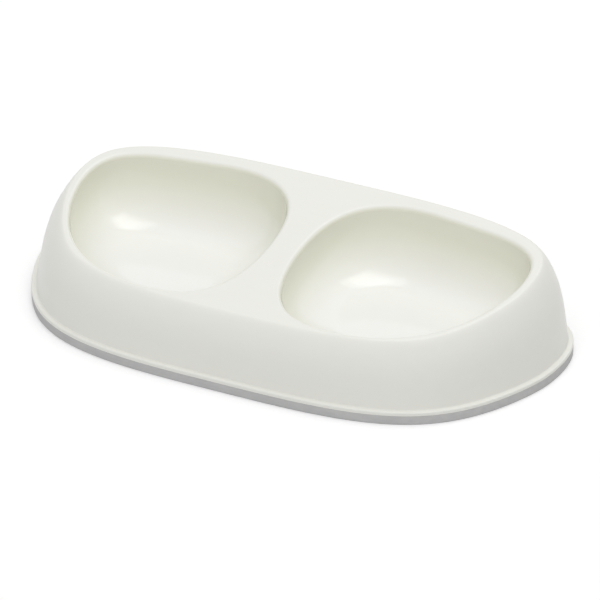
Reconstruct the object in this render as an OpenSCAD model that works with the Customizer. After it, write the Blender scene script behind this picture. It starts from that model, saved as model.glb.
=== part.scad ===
/* [Foot] */
// Length of the bowl at its foot, left to right
foot_l = 300; // [250:5:340]
// Depth of the bowl at its foot, front to back
foot_d = 156; // [140:1:185]
// Bend of the foot's left and right ends: lower is squarer
end_bend_share = 0.6; // [0.55:0.01:0.75]
// Bend of the foot's front and back sides: lower is squarer
side_bend_share = 1.11; // [1:0.01:1.2]
// How much the foot narrows towards the front
taper_share = 0.125; // [0:0.005:0.2]
// How much the foot's corners swell out
corner_share = 0.155; // [0.05:0.005:0.25]

/* [Side wall and deck] */
// Height of the deck at its front edge
front_h = 38; // [32:0.5:46]
// Height of the deck at its back edge
back_h = 58; // [47:0.5:68]
// How far the side wall leans in from the foot to the deck
lean = 16.3; // [13:0.1:19]
// How far the side wall bulges out half way up
bulge = 3.3; // [1.5:0.1:4.5]
// Thickness of every moulded wall
wall = 2.2; // [1.6:0.1:2.8]
// Rounding where the side wall turns into the deck
deck_edge_r = 1.2; // [0.6:0.1:1.6]

/* [Foot flange] */
// Width of the ledge that runs round outside the side wall
ledge_w = 2.75; // [2.2:0.05:3.5]
// Height of the flange's outer face
flange_h = 1.2; // [0.8:0.1:2]
// Rounding of the flange's upper edge, its height and its width
flange_r = 0.8; // [0.4:0.1:1.2]

/* [Basins] */
// Width of the deck between the two basins at its narrowest
waist_w = 14; // [12.5:0.5:24]
// Width of the deck in front of the basins
front_strip = 3.9; // [3.7:0.1:8]
// Width of the deck behind the basins
back_strip = 8.5; // [6:0.1:14]
// Width of the deck past the left and right ends of the basins
end_strip = 5.2; // [4.5:0.1:10]
// Height of the basin floors above the table
floor_h = 21; // [14:0.5:22]
// Share of a basin wall's height that the curve up from its floor takes
curve_height_share = 0.9; // [0.7:0.05:0.95]
// Rounding of the basin rims
rim_r = 2.2; // [1.6:0.1:2.4]

/* [Grip ring] */
// Height of the soft ring that the bowl stands on
ring_h = 5; // [4:0.1:6.5]
// Width of the ring, outside to inside
ring_w = 8; // [7:0.1:12]
// Depth of the groove that holds the bowl's wall
groove_depth = 3.2; // [2.4:0.1:3.4]
// Play between the ring's groove and the wall in it
ring_play = 0.2; // [0.1:0.05:0.3]
// Height of the step round the ring's lower outside edge
lip_h = 0.8; // [0.4:0.1:1.2]
// Width of the step round the ring's lower outside edge
lip_w = 0.5; // [0.3:0.1:1]

/* [Hidden] */

body_colour = [0.93, 0.93, 0.9];
ring_colour = [0.68, 0.68, 0.68];

overrun = 2;
outline_points = 72;
basin_points_per_span = 6;

half_l = foot_l / 2;
half_d = foot_d / 2;
deck_l = foot_l - 2 * lean;
deck_d = foot_d - 2 * lean;
deck_slope = (back_h - front_h) / deck_d;
deck_mid_h = (front_h + back_h) / 2;
ledge_top = ring_h + flange_h + flange_r;
tongue_foot = ring_h - groove_depth + ring_play;
tongue_out = ledge_w;
tongue_in = ledge_w + wall;
basin_l = (deck_l - waist_w) / 2 - end_strip;
basin_d = deck_d - front_strip - back_strip;
basin_mid_x = (waist_w + basin_l) / 2;
basin_mid_y = (front_strip - back_strip) / 2;

// Side wall stations as shares of its height, closest where it turns into the deck
skirt_shares = [0, 0.18, 0.36, 0.54, 0.72, 0.86, 0.96];
last_skirt_share = skirt_shares[len(skirt_shares) - 1];

// Basin rim guide points as shares of the basin's half length and half depth, anticlockwise
rim_shares = [
    [1.13, 0.81],
    [0.2, 0.95],
    [-0.46, 1.06],
    [-1.03, 0.65],
    [-0.99, -0.7],
    [-0.5, -1.07],
    [0.37, -0.96],
    [0.9, -0.38]
];

// Turns of the curve between a basin's floor and wall, in degrees from the floor
floor_turns = [0, 18, 36, 54, 72, 90];
// Turns of the rounded rim up to its last one before the deck, in degrees from the deck
rim_turns = [90, 60, 30];
// How far a basin's wall draws in from rim to floor, and how far the curve does on top
wall_draw_share = 0.05;
curve_draw_share = 0.43;
core_inset = 6 * rim_r;
core_drop = 1.4 * rim_r;
// The rim's last slope runs on past the deck by as much again
past_rim = rim_r * sin(rim_turns[len(rim_turns) - 1]);
past_deck = rim_r * (1 - cos(rim_turns[len(rim_turns) - 1]));

// Signed power, which squares or rounds a circle
function bent(v, share) = sign(v) * pow(abs(v), share);

function foot_point(a) =
    let (c = bent(cos(a), end_bend_share), s = bent(sin(a), side_bend_share))
    [c * (1 + taper_share * s + corner_share * s * s), s];

// Angle of an outline point, spaced so that the points stand evenly along the outline
function even_angle(i) =
    let (
        quarters = 4 * i / outline_points,
        side = floor(quarters),
        part = side % 2 == 0 ? quarters - side : 1 + side - quarters,
        lead = 90 * (1 - pow(1 - part, 1 / end_bend_share))
    )
    side == 0 ? lead : side == 1 ? 180 - lead : side == 2 ? 180 + lead : 360 - lead;

unit_foot = [for (i = [0:outline_points - 1]) foot_point(even_angle(i))];
widest_share = max([for (p = unit_foot) p.x]);
foot_outline = [for (p = unit_foot) [half_l * p.x / widest_share, half_d * p.y]];

// Outward unit normals of a closed anticlockwise outline
function normals(pts) = [
    for (i = [0:len(pts) - 1])
    let (d = pts[(i + 1) % len(pts)] - pts[(i + len(pts) - 1) % len(pts)])
    [d.y, -d.x] / norm(d)
];

// Moves an outline along its normals, outwards when the step is above zero
function grown(pts, step) =
    let (n = normals(pts))
    [for (i = [0:len(pts) - 1]) pts[i] + step * n[i]];

// Height of the sloping deck at a distance back from the middle
function deck_at(y) = deck_mid_h + deck_slope * y;

// Lifts an outline to a share of the way from a flat height to a plane under the deck
function lifted(pts, low, share, drop) =
    [for (p = pts) [p.x, p.y, low + (deck_at(p.y) - drop - low) * share]];

function flat(pts, z) = [for (p = pts) [p.x, p.y, z]];

// Distance of the side wall in from the foot outline at a share of its height
function skirt_in(share) =
    ledge_w + (lean - ledge_w) * share - bulge * 4 * share * (1 - share) * (0.5 + share);

// Side wall level past the deck, so that at the deck the wall is drawn in by the given length
function past_skirt(draw_in, drop) =
    lifted(
        grown(foot_outline, skirt_in(last_skirt_share) - 2 * draw_in - drop),
        ledge_top, 2 - last_skirt_share, drop
    );

// Closed cubic spline through the neighbourhood of its guide points
function spline_point(guides, i, u) =
    let (
        n = len(guides),
        before = pow(1 - u, 3) / 6,
        here = (3 * pow(u, 3) - 6 * pow(u, 2) + 4) / 6,
        next = (-3 * pow(u, 3) + 3 * pow(u, 2) + 3 * u + 1) / 6,
        after = pow(u, 3) / 6
    )
    guides[(i + n - 1) % n] * before + guides[i] * here
        + guides[(i + 1) % n] * next + guides[(i + 2) % n] * after;

unit_rim = [
    for (i = [0:len(rim_shares) - 1], k = [0:basin_points_per_span - 1])
    spline_point(rim_shares, i, k / basin_points_per_span)
];
unit_right = max([for (p = unit_rim) p.x]);
unit_left = min([for (p = unit_rim) p.x]);
unit_back = max([for (p = unit_rim) p.y]);
unit_front = min([for (p = unit_rim) p.y]);

// The rim outline, stretched to the basin's own length and depth about its middle
rim_outline = [
    for (p = unit_rim)
    [
        basin_l * ((p.x - unit_left) / (unit_right - unit_left) - 1 / 2),
        basin_d * ((p.y - unit_front) / (unit_back - unit_front) - 1 / 2)
    ]
];

function placed(pts) = [for (p = pts) [p.x + basin_mid_x, p.y + basin_mid_y]];

// Basin opening drawn in towards its middle, then moved in along its normals
function basin_ring(draw_share, inset) =
    placed(grown([for (p = rim_outline) p * (1 - draw_share)], -inset));

// Levels of a basin's inner face up to its rim, or of its under face when thick is the wall
function basin_levels(thick) = [
    for (turn = floor_turns)
    let (
        height_share = curve_height_share * (1 - cos(turn)),
        draw = wall_draw_share * (1 - height_share) + curve_draw_share * (1 - sin(turn))
    )
    lifted(
        basin_ring(draw, rim_r - thick * sin(turn)),
        floor_h - thick * cos(turn), height_share, rim_r
    )
];

// One level of the rounded rim
function rim_level(turn) =
    lifted(basin_ring(0, rim_r * sin(turn)), floor_h, 1, rim_r * (1 - cos(turn)));

// A smaller level inside a basin, from which each part of its rim is built
function core_level() = lifted(basin_ring(0, core_inset), floor_h, 1, core_drop);

// Convex solid round a list of levels
module loft(levels) {
    count = len(levels[0]);
    hull() polyhedron(
        points = [for (level = levels) each level],
        faces = [
            [for (k = [0:count - 1]) k],
            [for (k = [1:count]) len(levels) * count - k],
            for (i = [0:len(levels) - 2], k = [0:count - 1])
            let (low = i * count, next = (k + 1) % count)
            [low + next, low + k, low + count + k, low + count + next]
        ]
    );
}

module both_sides() {
    children();
    mirror([1, 0, 0]) children();
}

module prism(pts, low, high) {
    translate([0, 0, low]) linear_extrude(high - low) polygon(pts);
}

// Everything above a plane that lies under the deck by the given drop
module above_deck(drop) {
    translate([0, 0, deck_mid_h - drop])
        rotate([atan(deck_slope), 0, 0])
            translate([-foot_l, -foot_d, 0])
                cube([2 * foot_l, 2 * foot_d, foot_d]);
}

// Tongue, flange and side wall as one solid, up to the deck
module outer_form() {
    prism(grown(foot_outline, -tongue_out), tongue_foot, ring_h + flange_h);
    loft([
        flat(foot_outline, ring_h),
        flat(foot_outline, ring_h + flange_h),
        flat(grown(foot_outline, -flange_r / 3), ring_h + flange_h + flange_r * 2 / 3),
        flat(grown(foot_outline, -flange_r), ledge_top)
    ]);
    difference() {
        loft(concat(
            [flat(grown(foot_outline, -skirt_in(0)), ring_h + flange_h)],
            [for (s = skirt_shares) lifted(grown(foot_outline, -skirt_in(s)), ledge_top, s, 0)],
            [past_skirt(lean + deck_edge_r, 0)]
        ));
        above_deck(0);
    }
}

// Space of one basin, flaring out over the rounded rim and past the deck
module basin_space() {
    loft(concat(basin_levels(0), [rim_level(rim_turns[0])]));
    for (i = [0:len(rim_turns) - 2])
        loft([core_level(), rim_level(rim_turns[i]), rim_level(rim_turns[i + 1])]);
    last = len(rim_turns) - 1;
    loft([
        core_level(),
        rim_level(rim_turns[last]),
        lifted(basin_ring(0, -past_rim), floor_h, 1, -past_deck)
    ]);
}

// One basin with its wall filled in, as seen from below
module basin_under() {
    loft(concat(
        basin_levels(wall),
        [lifted(basin_ring(0, rim_r - wall), floor_h, 1, 0)]
    ));
}

// Room inside the side wall, from under the foot up to the deck's under face
module inside_form() {
    difference() {
        loft(concat(
            [flat(grown(foot_outline, -tongue_in), tongue_foot - overrun)],
            [
                for (s = skirt_shares)
                lifted(grown(foot_outline, -skirt_in(s) - wall), ledge_top, s, wall)
            ],
            [past_skirt(lean, wall)]
        ));
        above_deck(wall);
    }
}

module bowl_body() {
    color(body_colour)
    difference() {
        outer_form();
        difference() {
            inside_form();
            both_sides() basin_under();
        }
        both_sides() basin_space();
    }
}

module grip_ring() {
    inner = grown(foot_outline, -ring_w);
    color(ring_colour)
    difference() {
        union() {
            prism(foot_outline, lip_h, ring_h);
            prism(grown(foot_outline, -lip_w), 0, lip_h);
        }
        prism(inner, -overrun, ring_h + overrun);
        difference() {
            prism(grown(foot_outline, ring_play - tongue_out), ring_h - groove_depth, ring_h + overrun);
            prism(grown(foot_outline, -tongue_in - ring_play), -overrun, ring_h + overrun + overrun);
        }
    }
}

bowl_body();
grip_ring();
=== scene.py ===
import math

import bmesh
import bpy
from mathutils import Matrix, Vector


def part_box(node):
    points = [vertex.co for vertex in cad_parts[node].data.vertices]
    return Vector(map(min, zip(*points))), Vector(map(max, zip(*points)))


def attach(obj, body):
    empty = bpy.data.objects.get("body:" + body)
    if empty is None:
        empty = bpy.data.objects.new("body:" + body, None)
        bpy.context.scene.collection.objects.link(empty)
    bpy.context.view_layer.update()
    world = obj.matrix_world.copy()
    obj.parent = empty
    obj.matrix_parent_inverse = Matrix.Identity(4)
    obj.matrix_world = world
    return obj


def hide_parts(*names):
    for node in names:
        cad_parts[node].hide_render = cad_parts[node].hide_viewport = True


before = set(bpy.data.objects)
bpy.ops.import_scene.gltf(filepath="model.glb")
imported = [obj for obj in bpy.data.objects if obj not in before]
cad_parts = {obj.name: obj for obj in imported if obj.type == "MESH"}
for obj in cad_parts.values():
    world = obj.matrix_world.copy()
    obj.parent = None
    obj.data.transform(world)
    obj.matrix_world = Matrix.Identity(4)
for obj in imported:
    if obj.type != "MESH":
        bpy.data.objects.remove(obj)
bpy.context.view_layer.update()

# Lengths are in metres, and a share is a part of something larger
QUARTER_TURN = math.pi / 2

# Foot outline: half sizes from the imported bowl, the powers that bend it, and its taper
_, RING_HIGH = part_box("grip_ring")
BODY_LOW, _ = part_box("bowl_body")
HALF_LENGTH = RING_HIGH.x
HALF_DEPTH = RING_HIGH.y
END_BEND_POWER = 0.6
SIDE_BEND_POWER = 1.11
TAPER_SHARE = 0.125
CORNER_SHARE = 0.155

# Side wall and deck
FRONT_HEIGHT = 0.038
BACK_HEIGHT = 0.058
LEAN = 0.0163
BULGE = 0.0033
BULGE_FOOT_SHARE = 0.5
WALL = 0.0022
DECK_EDGE_ROUND = 0.0013
DECK_EDGE_START_SHARE = 0.92

# Ledge and flange round the foot
RING_HEIGHT = RING_HIGH.z
LEDGE_WIDTH = 0.00275
FLANGE_HEIGHT = 0.0012
FLANGE_ROUND = 0.0008
FLANGE_FOOT_ROUND = 0.0002
LEDGE_CREASE = 0.0007
LEDGE_TOP = RING_HEIGHT + FLANGE_HEIGHT + FLANGE_ROUND
TONGUE_FOOT = BODY_LOW.z

# Basins: the strips of deck round them, their curves, and the guides of their outline. Their
# wall is thinner than the rest, to stay clear of the side wall where the front strip is narrow.
WAIST_WIDTH = 0.014
FRONT_STRIP = 0.0039
BACK_STRIP = 0.0085
END_STRIP = 0.0052
FLOOR_HEIGHT = 0.021
CURVE_HEIGHT_SHARE = 0.9
WALL_DRAW_SHARE = 0.05
CURVE_DRAW_SHARE = 0.43
RIM_ROUND = 0.0023
RIM_SPREAD = 0.0004
RIM_REACH = RIM_ROUND - RIM_SPREAD
RIM_TURN = math.radians(84)
BASIN_WALL = 0.0015
END_WIDENING = 0.0014
END_FULL_SHARE = 0.4
RIM_GUIDE_SHARES = (
    (1.13, 0.81),
    (0.2, 0.95),
    (-0.46, 1.06),
    (-1.03, 0.65),
    (-0.99, -0.7),
    (-0.5, -1.07),
    (0.37, -0.96),
    (0.9, -0.38),
)

# Grip ring
RING_WIDTH = 0.008
GROOVE_DEPTH = 0.0032
RING_PLAY = 0.0002
RING_FOOT_ROUND = 0.0007
RING_TOP_ROUND = 0.0002

# How finely the pieces are made
FOOT_STATIONS = 240
BASIN_STATIONS = 280
RIM_RINGS = 18
SKIRT_RINGS = 22
CURVE_RINGS = 20
WALL_RINGS = 6
ROUND_RINGS = 6
FLOOR_RING_SHARES = (0.08, 0.3, 0.6)
FLAT_STRIP = 0.00005
CREASE_ANGLE = math.radians(35)
WELD_DISTANCE = 1e-6

# Moulded plastic: off-white outside, and glossier inside the basins, where light and shade are
# painted
# into the colour: a lighter floor, as if lit more, and a wall yellower up its height, as painted
# shade standing for light bounced inside the basin. The first share of the rim stays bare. From
# there down to the curve that leads to the floor, the painted light and shade start and end, and
# the gloss starts, at their own shares of the way.
PLASTIC_COLOUR = (0.875, 0.874, 0.822, 1)
PLASTIC_CLOUDY = (0.867, 0.865, 0.812, 1)
# Painted light: the basin floor is lighter than the plastic outside, as if lit more.
BASIN_FLOOR_PAINTED_LIGHT = (0.882, 0.886, 0.855, 1)
# Painted shade: the basin wall is yellower, standing for light bounced between the walls.
BASIN_WALL_PAINTED_SHADE = (0.868, 0.866, 0.747, 1)
WALL_PAINTED_SHADE_HEIGHT_SHARE = 0.6
RIM_BARE_SHARE = 0.25
PAINTED_LIGHT_START_SHARE = 0
PAINTED_LIGHT_END_SHARE = 0.5
GLOSS_START_SHARE = 0.45
PLASTIC_ROUGHNESS = 0.32
PLASTIC_RUBBED_ROUGHNESS = 0.38
BASIN_ROUGHNESS = 0.05
PLASTIC_IOR = 1.5
PLASTIC_SKIN = {"Coarse Scale": 55, "Fine Scale": 1400, "Fine Share": 0.25}
PLASTIC_HANDLING = {"Patch Scale": 11, "Streak Scale": 70}
PLASTIC_BUMP = {"Strength": 0.12, "Distance": 0.00005}

# Soft grip: matte grey
GRIP_COLOUR = (0.57, 0.57, 0.57, 1)
GRIP_DARK = (0.5, 0.5, 0.5, 1)
GRIP_DUSTY = (0.6, 0.6, 0.595, 1)
GRIP_ROUGHNESS = 0.62
GRIP_RUBBED_ROUGHNESS = 0.8
GRIP_SKIN = {"Coarse Scale": 120, "Fine Scale": 2600, "Fine Share": 0.7}
GRIP_HANDLING = {"Patch Scale": 20, "Streak Scale": 110}
GRIP_BUMP = {"Strength": 0.4, "Distance": 0.0001}

# What the noises of the two surface groups look like
COARSE_NOISE = {"Detail": 2, "Roughness": 0.45}
FINE_NOISE = {"Detail": 3, "Roughness": 0.6}
PATCH_NOISE = {"Detail": 4, "Roughness": 0.55, "Distortion": 0.6}
STREAK_NOISE = {"Detail": 2, "Roughness": 0.5}
STREAK_STRETCH = (1, 3, 3)
HANDLING_RANGE = {"From Min": 0.12, "From Max": 0.4}

# Studio: floor, white tent, softboxes and camera
WHITE = (1, 1, 1, 1)
STUDIO_FLOOR_HALF_SIZE = 6
STUDIO_FLOOR_COLOUR = (0.8, 0.8, 0.8, 1)
STUDIO_FLOOR_WHITENING = 0.28

# Where each side of the tent shines from, how narrowly and how strongly
TENT_SIDES = (
    ("overhead", (0, 0, 1), 1, 0.585),
    ("high front", (0, -0.6, 0.8), 6, 0.98),
    ("front", (0, -0.8, 0.6), 2, 0.16),
    ("right", (0.8, 0, 0.6), 2, 0.25),
)

# Name, place, size and power of each softbox
SOFTBOXES = (
    ("softbox", (0.04, 0.89, 2.34), (1.67, 1.74), 11.0),
    ("softbox_middle", (0.1, 0.95, 2.31), (1.2, 1.08), 5.3),
)
SOFTBOX_AIM = (0, 0, 0.03)

# The camera, fitted to the photograph's outlines. Its lens is as long as this many pictures
# are wide, and its aim lies this far right of and above the origin.
VIEW_AZIMUTH = math.radians(26.7)
VIEW_ELEVATION = math.radians(29)
VIEW_DISTANCE = 3.002
VIEW_LENS_WIDTHS = 5728 / 600
VIEW_REACH = 100
SENSOR_WIDTH_MM = 36
AIM_RIGHT = 0.00719
AIM_UP = 0.01341


# Outlines


def bent(value, power):
    """A cosine or sine raised to a power with its sign kept, which bends a circle."""
    return math.copysign(abs(value) ** power, value)


def ends(values):
    """The least and the greatest of some numbers."""
    values = list(values)
    return min(values), max(values)


def ramp(value, start, end):
    """A smooth rise from 0 at start to 1 at end."""
    part = min(1, max(0, (value - start) / (end - start)))
    return part * part * (3 - 2 * part)


def foot_angle(part):
    """Angle for a share of the way round, so that the stations stand evenly along the foot."""
    quarter, step = divmod(4 * part, 1)
    rising = quarter % 2 == 0
    step = step if rising else 1 - step
    lead = 1 - (1 - step) ** (1 / END_BEND_POWER)
    return QUARTER_TURN * (quarter + lead if rising else quarter + 1 - lead)


def foot_outline():
    """The outline of the foot: a bent oval, wider towards the back."""
    points = []
    for station in range(FOOT_STATIONS):
        angle = foot_angle(station / FOOT_STATIONS)
        across = bent(math.cos(angle), END_BEND_POWER)
        along = bent(math.sin(angle), SIDE_BEND_POWER)
        width = 1 + TAPER_SHARE * along + CORNER_SHARE * along**2
        points.append(Vector((across * width, along)))
    widest = max(p.x for p in points)
    return [Vector((HALF_LENGTH * p.x / widest, HALF_DEPTH * p.y)) for p in points]


def drawn_in(points, distance):
    """An outline moved inwards along its normals."""
    moved = []
    for i, point in enumerate(points):
        along = (points[(i + 1) % len(points)] - points[i - 1]).normalized()
        moved.append(point - distance * Vector((along.y, -along.x)))
    return moved


def spline_point(guides, place):
    """A point on the closed cubic B-spline of the guides, at a place counted in guides."""
    i, u = int(place), place - int(place)
    weights = (
        (1 - u) ** 3 / 6,
        (3 * u**3 - 6 * u**2 + 4) / 6,
        (-3 * u**3 + 3 * u**2 + 3 * u + 1) / 6,
        u**3 / 6,
    )
    near = [Vector(guides[(i + k - 1) % len(guides)]) for k in range(4)]
    return sum((w * g for w, g in zip(weights, near)), Vector((0, 0)))


def rim_outline():
    """The right basin's opening about its own middle, before it is placed."""
    length = HALF_LENGTH - LEAN - WAIST_WIDTH / 2 - END_STRIP
    depth = 2 * (HALF_DEPTH - LEAN) - FRONT_STRIP - BACK_STRIP
    points = [
        spline_point(RIM_GUIDE_SHARES, len(RIM_GUIDE_SHARES) * station / BASIN_STATIONS)
        for station in range(BASIN_STATIONS)
    ]
    left, right = ends(p.x for p in points)
    front, back = ends(p.y for p in points)
    return [
        Vector((
            length * ((p.x - left) / (right - left) - 1 / 2),
            depth * ((p.y - front) / (back - front) - 1 / 2),
        ))
        for p in points
    ]


def widened_end(points):
    """An opening drawn out at its outer end, and not where the front strip is narrow."""
    out = max(p.x for p in points)
    front, back = ends(p.y for p in points)
    full = front + END_FULL_SHARE * (back - front)
    return [
        p.lerp(q, ramp(p.x, 0, out) * ramp(p.y, front, full))
        for p, q in zip(points, drawn_in(points, -END_WIDENING))
    ]


FOOT = foot_outline()
PLAIN_RIM = rim_outline()
RIM_LEFT, RIM_RIGHT = ends(p.x for p in PLAIN_RIM)
BASIN_MID = Vector(((WAIST_WIDTH + RIM_RIGHT - RIM_LEFT) / 2, (FRONT_STRIP - BACK_STRIP) / 2))
RIM = widened_end(PLAIN_RIM)
DECK_MID = (FRONT_HEIGHT + BACK_HEIGHT) / 2
DECK_SLOPE = (BACK_HEIGHT - FRONT_HEIGHT) / (2 * (HALF_DEPTH - LEAN))


# Levels: each is a closed row of points


def deck_at(y):
    """The deck's height at a distance behind the middle."""
    return DECK_MID + DECK_SLOPE * y


def skirt_in(share):
    """How far in the side wall is at a share of its height. It bulges most above its middle."""
    bulge = BULGE * 4 * share * (1 - share) * (BULGE_FOOT_SHARE + share)
    return LEDGE_WIDTH + (LEAN - LEDGE_WIDTH) * share - bulge


def flat_level(inset, height):
    """The foot outline, drawn in, at one height."""
    return [Vector((p.x, p.y, height)) for p in drawn_in(FOOT, inset)]


def raised_level(inset, share, drop=0):
    """The foot outline, drawn in, at a share of the way up to a plane under the deck."""
    return [
        Vector((p.x, p.y, LEDGE_TOP + (deck_at(p.y) - drop - LEDGE_TOP) * share))
        for p in drawn_in(FOOT, inset)
    ]


def rounded(start, corner, end):
    """Levels along a smooth bend from start to end that leaves them towards corner."""
    levels = []
    for step in range(1, ROUND_RINGS):
        t = step / ROUND_RINGS
        levels.append([
            (1 - t) ** 2 * a + 2 * t * (1 - t) * c + t**2 * b
            for a, c, b in zip(start, corner, end)
        ])
    return levels


def outer_levels():
    """From the tongue's foot, round the flange, up the side wall and onto the deck."""
    crease = skirt_in(0)
    crease_share = LEDGE_CREASE / (DECK_MID - LEDGE_TOP)
    skirt_shares = [
        crease_share + (DECK_EDGE_START_SHARE - crease_share) * k / SKIRT_RINGS
        for k in range(SKIRT_RINGS + 1)
    ]
    flange_side = flat_level(0, RING_HEIGHT + FLANGE_HEIGHT)
    flange_top = flat_level(FLANGE_ROUND, LEDGE_TOP)
    ledge_end = flat_level(crease - LEDGE_CREASE, LEDGE_TOP)
    skirt = [raised_level(skirt_in(share), share) for share in skirt_shares]
    edge_start = raised_level(skirt_in(DECK_EDGE_START_SHARE), DECK_EDGE_START_SHARE)
    edge_end = raised_level(LEAN + DECK_EDGE_ROUND, 1)
    return [
        flat_level(crease, TONGUE_FOOT),
        flat_level(crease, RING_HEIGHT),
        flat_level(FLANGE_FOOT_ROUND, RING_HEIGHT),
        flat_level(0, RING_HEIGHT + FLANGE_FOOT_ROUND),
        flange_side,
        *rounded(flange_side, flat_level(0, LEDGE_TOP), flange_top),
        flange_top,
        ledge_end,
        *rounded(ledge_end, flat_level(crease, LEDGE_TOP), skirt[0]),
        *skirt,
        *rounded(edge_start, raised_level(LEAN, 1), edge_end),
        edge_end,
        raised_level(LEAN + DECK_EDGE_ROUND + FLAT_STRIP, 1),
    ]


def inner_levels():
    """From the tongue's foot up inside the side wall to the deck's under face."""
    foot = flat_level(skirt_in(0) + WALL, TONGUE_FOOT)
    return [foot] + [
        raised_level(skirt_in(k / SKIRT_RINGS) + WALL, k / SKIRT_RINGS, WALL)
        for k in range(SKIRT_RINGS + 1)
    ]


def basin_level(side, inset, draw_share=0, low=FLOOR_HEIGHT, share=1, drop=0):
    """The left (-1) or right (1) basin's outline, shrunk by a share and drawn in by an inset.

    It stands a share of the way up from low to a plane that is a drop below the deck.
    """
    level = []
    for p in drawn_in([p * (1 - draw_share) for p in RIM], inset):
        y = p.y + BASIN_MID.y
        height = low + (deck_at(y) - drop - low) * share
        level.append(Vector((side * (p.x + BASIN_MID.x), y, height)))
    return level


def rim_levels(side):
    """Down over the rounded rim from the deck."""
    turns = [RIM_TURN * k / RIM_RINGS for k in range(RIM_RINGS + 1)]
    return [basin_level(side, -RIM_SPREAD - FLAT_STRIP)] + [
        basin_level(side, RIM_ROUND * math.sin(t) - RIM_SPREAD, drop=RIM_ROUND * (1 - math.cos(t)))
        for t in turns
    ]


def bowl_levels(side, thick, floor_thick):
    """Down the basin's wall and round onto its floor, or the same a wall's thickness outside."""
    levels = []
    for k in range(1, WALL_RINGS):
        share = 1 - (1 - CURVE_HEIGHT_SHARE) * k / WALL_RINGS
        draw = WALL_DRAW_SHARE * (1 - share)
        levels.append(basin_level(side, RIM_REACH - thick, draw, share=share, drop=RIM_ROUND))
    for k in range(CURVE_RINGS, -1, -1):
        turn = QUARTER_TURN * k / CURVE_RINGS
        share = CURVE_HEIGHT_SHARE * (1 - math.cos(turn))
        draw = WALL_DRAW_SHARE * (1 - share) + CURVE_DRAW_SHARE * (1 - math.sin(turn))
        inset = RIM_REACH - thick * math.sin(turn)
        low = FLOOR_HEIGHT - floor_thick * math.cos(turn)
        levels.append(basin_level(side, inset, draw, low, share, RIM_ROUND))
    floor_draw = WALL_DRAW_SHARE + CURVE_DRAW_SHARE
    for part in FLOOR_RING_SHARES:
        draw = floor_draw + (1 - floor_draw) * part
        levels.append(basin_level(side, RIM_REACH, draw, FLOOR_HEIGHT - floor_thick, 0))
    return levels


# Mesh making


def new_mesh():
    """An empty mesh that stores where each point stands, for growing and for its colours."""
    mesh = bmesh.new()
    mesh.verts.layers.int.new("station")
    mesh.verts.layers.float.new("past_rim")
    mesh.verts.layers.float.new("wall_height")
    return mesh


def start_row(mesh, level):
    """A closed row of edges on a level."""
    made = bmesh.ops.create_circle(
        mesh, segments=len(level), radius=HALF_DEPTH, cap_ends=False,
    )
    station = mesh.verts.layers.int["station"]
    for i, (vert, point) in enumerate(zip(made["verts"], level)):
        vert[station] = i
        vert.co = point
    fresh = set(made["verts"])
    return [e for e in mesh.edges if e.verts[0] in fresh]


def grow(mesh, row, levels, rim_count=0):
    """Extrudes a row of edges through the levels, and returns the last row.

    Where the levels start with a rim, each point stores how far past the rim it is, and how
    high up the basin's wall.
    """
    station = mesh.verts.layers.int["station"]
    past_rim = mesh.verts.layers.float["past_rim"]
    wall_height = mesh.verts.layers.float["wall_height"]
    bare = RIM_BARE_SHARE * rim_count
    way = rim_count - bare + WALL_RINGS
    for number, level in enumerate(levels):
        made = bmesh.ops.extrude_edge_only(mesh, edges=row)["geom"]
        fresh = {v for v in made if isinstance(v, bmesh.types.BMVert)}
        for vert in fresh:
            vert.co = level[vert[station]]
            if rim_count:
                above_floor = vert.co.z - FLOOR_HEIGHT
                vert[past_rim] = min(1, max(0, number - bare) / way)
                vert[wall_height] = above_floor / (deck_at(vert.co.y) - FLOOR_HEIGHT)
        edges = [e for e in made if isinstance(e, bmesh.types.BMEdge)]
        row = [e for e in edges if all(v in fresh for v in e.verts)]
    return row


def new_object(mesh, name, material):
    """An object in the scene that takes over the mesh."""
    data = bpy.data.meshes.new(name)
    mesh.to_mesh(data)
    mesh.free()
    made = bpy.data.objects.new(name, data)
    bpy.context.scene.collection.objects.link(made)
    data.materials.append(material)
    return made


def finish_piece(mesh, name, node, material):
    """Welds, points the faces outwards, keeps the sharp corners and hands the piece over."""
    bmesh.ops.remove_doubles(mesh, verts=mesh.verts, dist=WELD_DISTANCE)
    bmesh.ops.recalc_face_normals(mesh, faces=mesh.faces)
    for face in mesh.faces:
        face.smooth = True
    for edge in mesh.edges:
        if edge.is_manifold and edge.calc_face_angle() > CREASE_ANGLE:
            edge.smooth = False
    piece = new_object(mesh, name, material)
    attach(piece, "root")
    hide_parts(node)


def build_moulding(material):
    """The bowl in one closed skin: outside, inside, both basins, and the deck's two faces."""
    mesh = new_mesh()
    outer = outer_levels()
    foot_row = start_row(mesh, outer[0])
    deck_rows = grow(mesh, foot_row, outer[1:])
    under_rows = grow(mesh, foot_row, inner_levels())
    for side in (-1, 1):
        rim = rim_levels(side)
        rim_row = start_row(mesh, rim[0])
        deck_rows = deck_rows + rim_row
        basin = rim[1:] + bowl_levels(side, 0, 0)
        floor_row = grow(mesh, rim_row, basin, rim_count=len(rim))
        bmesh.ops.contextual_create(mesh, geom=floor_row)
        under_row = start_row(mesh, basin_level(side, RIM_REACH - BASIN_WALL, drop=WALL))
        under_rows = under_rows + under_row
        floor_row = grow(mesh, under_row, bowl_levels(side, BASIN_WALL, WALL))
        bmesh.ops.contextual_create(mesh, geom=floor_row)
    for row in (deck_rows, under_rows):
        bmesh.ops.triangle_fill(mesh, use_beauty=True, use_dissolve=False, edges=row)
    finish_piece(mesh, "moulded_bowl", "bowl_body", material)


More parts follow.
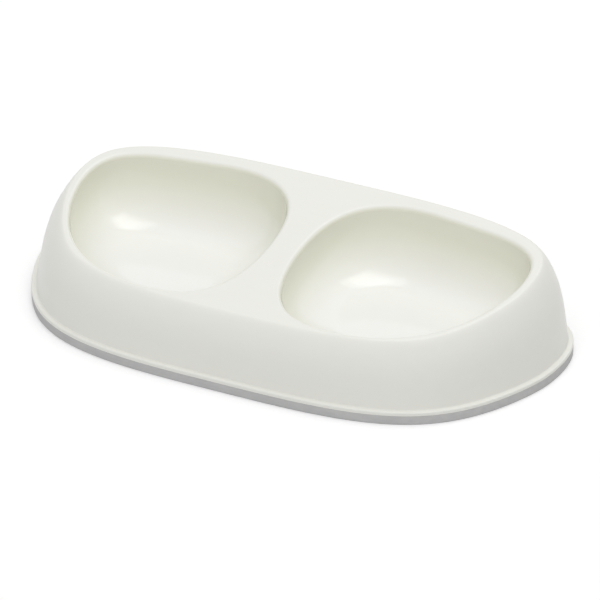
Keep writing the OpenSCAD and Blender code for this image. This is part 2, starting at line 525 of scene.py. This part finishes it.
def build_ring(material):
    """The ring's section, walked round once from the inside of its foot."""
    groove_out = LEDGE_WIDTH - RING_PLAY
    groove_in = LEDGE_WIDTH + WALL + RING_PLAY
    groove_floor = RING_HEIGHT - GROOVE_DEPTH
    foot_in = flat_level(RING_FOOT_ROUND, 0)
    foot_up = flat_level(0, RING_FOOT_ROUND)
    section = [
        flat_level(RING_WIDTH, 0),
        foot_in,
        *rounded(foot_in, flat_level(0, 0), foot_up),
        foot_up,
        flat_level(0, RING_HEIGHT - RING_TOP_ROUND),
        flat_level(RING_TOP_ROUND, RING_HEIGHT),
        flat_level(groove_out, RING_HEIGHT),
        flat_level(groove_out, groove_floor),
        flat_level(groove_in, groove_floor),
        flat_level(groove_in, RING_HEIGHT),
        flat_level(RING_WIDTH, RING_HEIGHT),
    ]
    mesh = new_mesh()
    grow(mesh, start_row(mesh, section[0]), section[1:] + section[:1])
    finish_piece(mesh, "soft_grip_ring", "grip_ring", material)


# Materials

# A Mix node has a socket of each name for each kind of data, so its colours go by number
MIX_FIRST_COLOUR, MIX_SECOND_COLOUR, MIX_COLOUR_OUT = 6, 7, 2


def add_node(tree, kind, settings=None, inputs=None):
    """A node with its settings, and its inputs linked or set to a value."""
    node = tree.nodes.new(kind)
    for label, value in (settings or {}).items():
        setattr(node, label, value)
    for label, value in (inputs or {}).items():
        if isinstance(value, bpy.types.NodeSocket):
            tree.links.new(value, node.inputs[label])
        else:
            node.inputs[label].default_value = value
    return node


def maths(tree, operation, *values):
    """The result of one step of arithmetic on numbers or sockets."""
    inputs = dict(enumerate(values))
    return add_node(tree, "ShaderNodeMath", {"operation": operation}, inputs).outputs["Value"]


def noise(tree, place, scale, look):
    """A noise at a place and a scale."""
    inputs = {"Vector": place, "Scale": scale, **look}
    return add_node(tree, "ShaderNodeTexNoise", inputs=inputs).outputs["Fac"]


def mapped(tree, value, limits, shape="LINEAR"):
    """A value moved from one range to another, and kept within it."""
    settings = {"interpolation_type": shape}
    node = add_node(tree, "ShaderNodeMapRange", settings, {"Value": value, **limits})
    return node.outputs["Result"]


def colour_mix(tree, factor, first, second):
    """A mix of two colours."""
    mix = add_node(tree, "ShaderNodeMix", {"data_type": "RGBA"}, {
        "Factor": factor, MIX_FIRST_COLOUR: first, MIX_SECOND_COLOUR: second,
    })
    return mix.outputs[MIX_COLOUR_OUT]


def number_mix(tree, factor, first, second):
    """A mix of two numbers."""
    inputs = {"Factor": factor, "A": first, "B": second}
    return add_node(tree, "ShaderNodeMix", inputs=inputs).outputs["Result"]


def stored(tree, name):
    """A number that the mesh stores at its points."""
    return add_node(tree, "ShaderNodeAttribute", {"attribute_name": name}).outputs["Fac"]


def new_group(name, ins, outs):
    """A shader group with named inputs and outputs, and its two end nodes."""
    group = bpy.data.node_groups.new(name, "ShaderNodeTree")
    for label in ins:
        group.interface.new_socket(label, in_out="INPUT", socket_type="NodeSocketFloat")
    for label in outs:
        group.interface.new_socket(label, in_out="OUTPUT", socket_type="NodeSocketFloat")
    return group, group.nodes.new("NodeGroupInput"), group.nodes.new("NodeGroupOutput")


def mould_skin_group():
    """Very fine unevenness that a mould leaves on plastic or rubber."""
    group, start, end = new_group(
        "mould_skin", ("Coarse Scale", "Fine Scale", "Fine Share"), ("Height", "Grain"),
    )
    place = add_node(group, "ShaderNodeTexCoord").outputs["Object"]
    coarse = noise(group, place, start.outputs["Coarse Scale"], COARSE_NOISE)
    fine = noise(group, place, start.outputs["Fine Scale"], FINE_NOISE)
    height = number_mix(group, start.outputs["Fine Share"], coarse, fine)
    group.links.new(height, end.inputs["Height"])
    group.links.new(fine, end.inputs["Grain"])
    return group


def handling_group():
    """Soft cloudy patches, where hands and cloths have rubbed the surface."""
    group, start, end = new_group("handling", ("Patch Scale", "Streak Scale"), ("Mask",))
    place = add_node(group, "ShaderNodeTexCoord").outputs["Object"]
    stretched = add_node(group, "ShaderNodeMapping", inputs={
        "Vector": place, "Scale": STREAK_STRETCH,
    }).outputs["Vector"]
    patches = noise(group, place, start.outputs["Patch Scale"], PATCH_NOISE)
    streaks = noise(group, stretched, start.outputs["Streak Scale"], STREAK_NOISE)
    both = maths(group, "MULTIPLY", patches, streaks)
    group.links.new(mapped(group, both, HANDLING_RANGE), end.inputs["Mask"])
    return group


MOULD_SKIN = mould_skin_group()
HANDLING = handling_group()


def new_material(name):
    """A material, its node tree and its shader."""
    material = bpy.data.materials.new(name)
    material.use_nodes = True
    return material, material.node_tree, material.node_tree.nodes["Principled BSDF"]


def worn_surface(tree, skin_look, handling_look):
    """The mould's skin and the mask of where the surface is rubbed."""
    skin = add_node(tree, "ShaderNodeGroup", {"node_tree": MOULD_SKIN}, skin_look)
    handling = add_node(tree, "ShaderNodeGroup", {"node_tree": HANDLING}, handling_look)
    return skin, handling.outputs["Mask"]


def join_shader(tree, shader, colour, roughness, height, bump_look):
    """Links a surface's colour, roughness and bump to its shader."""
    bump = add_node(tree, "ShaderNodeBump", inputs={"Height": height, **bump_look})
    tree.links.new(colour, shader.inputs["Base Color"])
    tree.links.new(roughness, shader.inputs["Roughness"])
    tree.links.new(bump.outputs["Normal"], shader.inputs["Normal"])


def moulded_plastic_material():
    """Off-white moulded plastic, satin outside and glossy inside the basins, where light is
    painted in: a lighter floor, and a wall yellowed up its height as painted shade.
    """
    material, tree, shader = new_material("moulded_plastic")
    skin, rubbed = worn_surface(tree, PLASTIC_SKIN, PLASTIC_HANDLING)
    past_rim = stored(tree, "past_rim")
    painted_shade_up_wall = mapped(tree, stored(tree, "wall_height"), {"From Max": WALL_PAINTED_SHADE_HEIGHT_SHARE})
    # How far past the rim the painted light and shade of the basins take over from the plastic.
    painted_light_range = {"From Min": PAINTED_LIGHT_START_SHARE, "From Max": PAINTED_LIGHT_END_SHARE}
    painted_light_share = mapped(tree, past_rim, painted_light_range, "SMOOTHSTEP")
    outside = colour_mix(tree, rubbed, PLASTIC_COLOUR, PLASTIC_CLOUDY)
    # Painted light on the basin floor, blending up the wall into painted yellow shade.
    inside = colour_mix(tree, painted_shade_up_wall, BASIN_FLOOR_PAINTED_LIGHT, BASIN_WALL_PAINTED_SHADE)
    dulled = mapped(tree, rubbed, {
        "To Min": PLASTIC_ROUGHNESS, "To Max": PLASTIC_RUBBED_ROUGHNESS,
    })
    polished = mapped(tree, past_rim, {"From Min": GLOSS_START_SHARE}, "SMOOTHSTEP")
    join_shader(
        tree,
        shader,
        colour_mix(tree, painted_light_share, outside, inside),
        number_mix(tree, polished, dulled, BASIN_ROUGHNESS),
        skin.outputs["Height"],
        PLASTIC_BUMP,
    )
    shader.inputs["IOR"].default_value = PLASTIC_IOR
    return material


def soft_grip_material():
    """Matte grey rubber with a fine moulded grain."""
    material, tree, shader = new_material("soft_grip")
    skin, rubbed = worn_surface(tree, GRIP_SKIN, GRIP_HANDLING)
    speckled = colour_mix(tree, skin.outputs["Grain"], GRIP_DARK, GRIP_COLOUR)
    join_shader(
        tree,
        shader,
        colour_mix(tree, rubbed, speckled, GRIP_DUSTY),
        mapped(tree, rubbed, {"To Min": GRIP_ROUGHNESS, "To Max": GRIP_RUBBED_ROUGHNESS}),
        skin.outputs["Height"],
        GRIP_BUMP,
    )
    return material


# Studio


def seen_rays(tree):
    """One for rays from the camera, or off gloss or through glass, and zero for the rest."""
    rays = tree.nodes.new("ShaderNodeLightPath").outputs
    first = maths(tree, "MAXIMUM", rays["Is Camera Ray"], rays["Is Glossy Ray"])
    return maths(tree, "MAXIMUM", first, rays["Is Transmission Ray"])


def studio_floor_material():
    """A pale matte floor that is whitened where it is seen, and still takes the shadow."""
    material, tree, shader = new_material("studio_floor")
    shader.inputs["Base Color"].default_value = STUDIO_FLOOR_COLOUR
    shader.inputs["Roughness"].default_value = 1
    shader.inputs["Specular IOR Level"].default_value = 0
    whitening = maths(tree, "MULTIPLY", seen_rays(tree), STUDIO_FLOOR_WHITENING)
    glow = add_node(tree, "ShaderNodeEmission", inputs={"Strength": whitening})
    both = add_node(tree, "ShaderNodeAddShader", inputs={
        0: shader.outputs["BSDF"], 1: glow.outputs["Emission"],
    })
    tree.links.new(both.outputs["Shader"], tree.nodes["Material Output"].inputs["Surface"])
    return material


def build_studio_floor():
    mesh = bmesh.new()
    bmesh.ops.create_grid(mesh, x_segments=1, y_segments=1, size=STUDIO_FLOOR_HALF_SIZE)
    floor = new_object(mesh, "floor", studio_floor_material())


def build_tent():
    """White surroundings: plain white where seen, and softly brighter above for the light."""
    world = bpy.data.worlds.new("white_tent")
    world.use_nodes = True
    tree = world.node_tree
    plain = tree.nodes["Background"]
    plain.inputs["Color"].default_value = WHITE
    plain.inputs["Strength"].default_value = 1
    towards = add_node(tree, "ShaderNodeTexCoord").outputs["Generated"]
    level = 0
    for name, side, narrowness, strength in TENT_SIDES:
        facing = add_node(tree, "ShaderNodeVectorMath", {
            "operation": "DOT_PRODUCT", "name": name,
        }, {0: towards, 1: side})
        above = maths(tree, "MAXIMUM", facing.outputs["Value"], 0)
        narrowed = maths(tree, "POWER", above, narrowness)
        level = maths(tree, "MULTIPLY_ADD", narrowed, strength, level)
    light = add_node(tree, "ShaderNodeBackground", inputs={"Color": WHITE, "Strength": level})
    chosen = add_node(tree, "ShaderNodeMixShader", inputs={
        0: seen_rays(tree), 1: light.outputs["Background"], 2: plain.outputs["Background"],
    })
    tree.links.new(chosen.outputs["Shader"], tree.nodes["World Output"].inputs["Surface"])
    bpy.context.scene.world = world


def faced(direction):
    """The turn that points a camera or a lamp away from a direction."""
    return direction.to_track_quat("Z", "Y").to_euler()


def build_camera():
    back = Vector((
        math.sin(VIEW_AZIMUTH) * math.cos(VIEW_ELEVATION),
        -math.cos(VIEW_AZIMUTH) * math.cos(VIEW_ELEVATION),
        math.sin(VIEW_ELEVATION),
    ))
    right = Vector((math.cos(VIEW_AZIMUTH), math.sin(VIEW_AZIMUTH), 0))
    up = back.cross(right)
    data = bpy.data.cameras.new("camera")
    data.sensor_width = SENSOR_WIDTH_MM
    data.lens = VIEW_LENS_WIDTHS * data.sensor_width
    data.clip_end = VIEW_REACH
    camera = bpy.data.objects.new("camera", data)
    camera.location = VIEW_DISTANCE * back + AIM_RIGHT * right + AIM_UP * up
    camera.rotation_euler = faced(back)
    bpy.context.scene.collection.objects.link(camera)
    bpy.context.scene.camera = camera


def build_softboxes():
    for name, place, size, power in SOFTBOXES:
        data = bpy.data.lights.new(name, "AREA")
        data.shape = "RECTANGLE"
        data.size, data.size_y = size
        data.energy = power
        lamp = bpy.data.objects.new(name, data)
        lamp.location = place
        lamp.rotation_euler = faced(Vector(place) - Vector(SOFTBOX_AIM))
        bpy.context.scene.collection.objects.link(lamp)


build_moulding(moulded_plastic_material())
build_ring(soft_grip_material())
build_studio_floor()
build_tent()
build_camera()
build_softboxes()
bpy.context.scene.view_settings.view_transform = "Standard"
